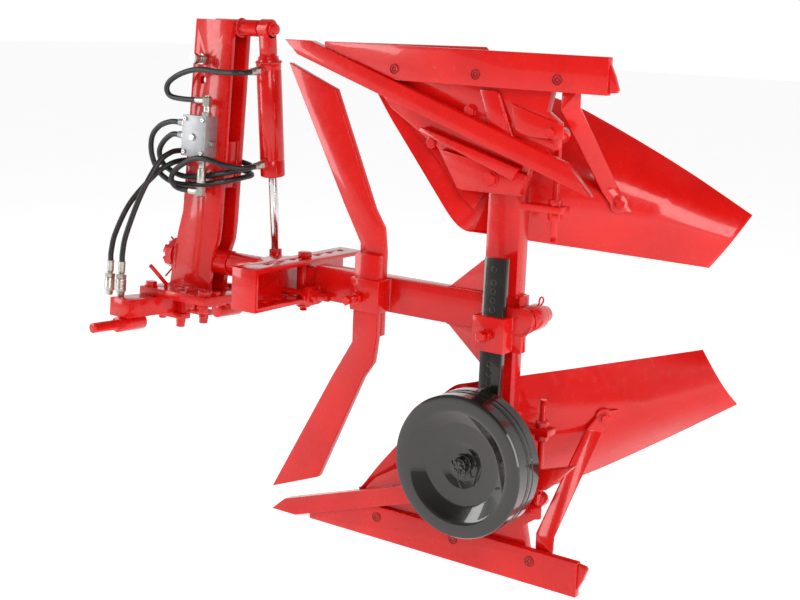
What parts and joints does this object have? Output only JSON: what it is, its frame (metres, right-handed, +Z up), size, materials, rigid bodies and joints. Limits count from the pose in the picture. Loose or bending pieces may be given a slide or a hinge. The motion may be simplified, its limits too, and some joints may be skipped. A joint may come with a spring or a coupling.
{
  "type": "moldboard plough",
  "caption": "Tractor-mounted turnover plough with upper and lower bodies on one leg, knife coulters, a hydraulic turning cylinder on its mast and a depth wheel.",
  "frame": {"origin": "on the ground under the middle of the plough's outline, hoses left out", "axes": "+X to the rear along the turnover shaft, +Y to the side the furrow is turned, +Z up"},
  "size_m": [1.4363, 0.7356, 1.1831],
  "materials": {
    "red_paint": "glossy red paint, rubbed through at the ground-working edges",
    "zinc_steel": "bright zinc-plated steel",
    "chrome_rod": "polished hard chrome",
    "cast_aluminium": "machined grey aluminium",
    "black_enamel": "glossy black enamel",
    "black_rubber": "satin black rubber hose"
  },
  "bodies": {
    "headstock": {"mast_plate_near": "red_paint", "mast_plate_far": "red_paint", "mast_spacer": "red_paint", "pivot_tube": "red_paint", "turnover_bearing": "red_paint", "cylinder_pin": "red_paint", "base_plate": "red_paint", "lower_link_bar": "red_paint", "link_pin_near": "red_paint", "link_pin_far": "red_paint", "bar_clamp_near": "red_paint", "bar_clamp_far": "red_paint", "lock_pin": "red_paint", "top_link_pin": "zinc_steel", "valve_block": "cast_aluminium", "valve_fitting_top": "zinc_steel", "valve_fitting_bottom": "zinc_steel", "hose_upper": "black_rubber", "hose_lower": "black_rubber", "supply_hose_a": "black_rubber", "supply_hose_b": "black_rubber", "coupler_a": "zinc_steel", "coupler_b": "zinc_steel"},
    "cylinder": {"cylinder_barrel": "red_paint", "port_fitting_upper": "zinc_steel", "port_fitting_lower": "zinc_steel"},
    "rod": {"cylinder_rod": "chrome_rod", "rod_eye": "red_paint"},
    "plough": {"turnover_shaft": "red_paint", "shaft_nut": "red_paint", "turning_head": "red_paint", "offset_channel": "red_paint", "pivot_bolt": "red_paint", "adjusting_screw": "red_paint", "beam": "red_paint", "coulter_clamp": "red_paint", "coulter_upper": "red_paint", "coulter_lower": "red_paint", "leg": "red_paint", "arm_sleeve": "red_paint", "frog_lower": "red_paint", "landside_lower": "red_paint", "point_bar_lower": "red_paint", "share_lower": "red_paint", "moldboard_lower": "red_paint", "pitch_screw_lower": "red_paint", "brace_lower": "red_paint", "frog_upper": "red_paint", "landside_upper": "red_paint", "point_bar_upper": "red_paint", "share_upper": "red_paint", "moldboard_upper": "red_paint", "pitch_screw_upper": "red_paint", "brace_upper": "red_paint"},
    "wheel_arm": {"wheel_bracket": "red_paint", "wheel_strut": "black_enamel"},
    "wheel": {"wheel": "black_enamel"}
  },
  "joints": [
    {"name": "turnover", "type": "hinge", "parent": "headstock", "child": "plough", "pos_m": [-0.53743, -0.05421, 0.57], "axis": [1, 0, 0], "range_deg": [0, 174]},
    {"name": "cylinder_swing", "type": "hinge", "parent": "headstock", "child": "cylinder", "pos_m": [-0.41743, -0.02333, 1.15919], "axis": [-1, 0, 0], "range_deg": [0, 8.55], "deforming": ["hose_upper", "hose_lower"]},
    {"name": "rod_slide", "type": "slide", "parent": "cylinder", "child": "rod", "axis": [0, 0.0965, -0.9953], "range_m": [-0.095, 0]},
    {"name": "wheel_arm_swing", "type": "hinge", "parent": "plough", "child": "wheel_arm", "pos_m": [0.38557, -0.05421, 0.57], "axis": [0, 1, 0], "range_deg": [0, 158]},
    {"name": "wheel_spin", "type": "hinge", "parent": "wheel_arm", "child": "wheel", "pos_m": [0.32857, -0.05421, 0.268], "axis": [0, 1, 0], "continuous": true}
  ],
  "couplings": [
    {"joint": "cylinder_swing", "follows": "rod_slide", "rad_per_m": -1.5685}
  ]
}
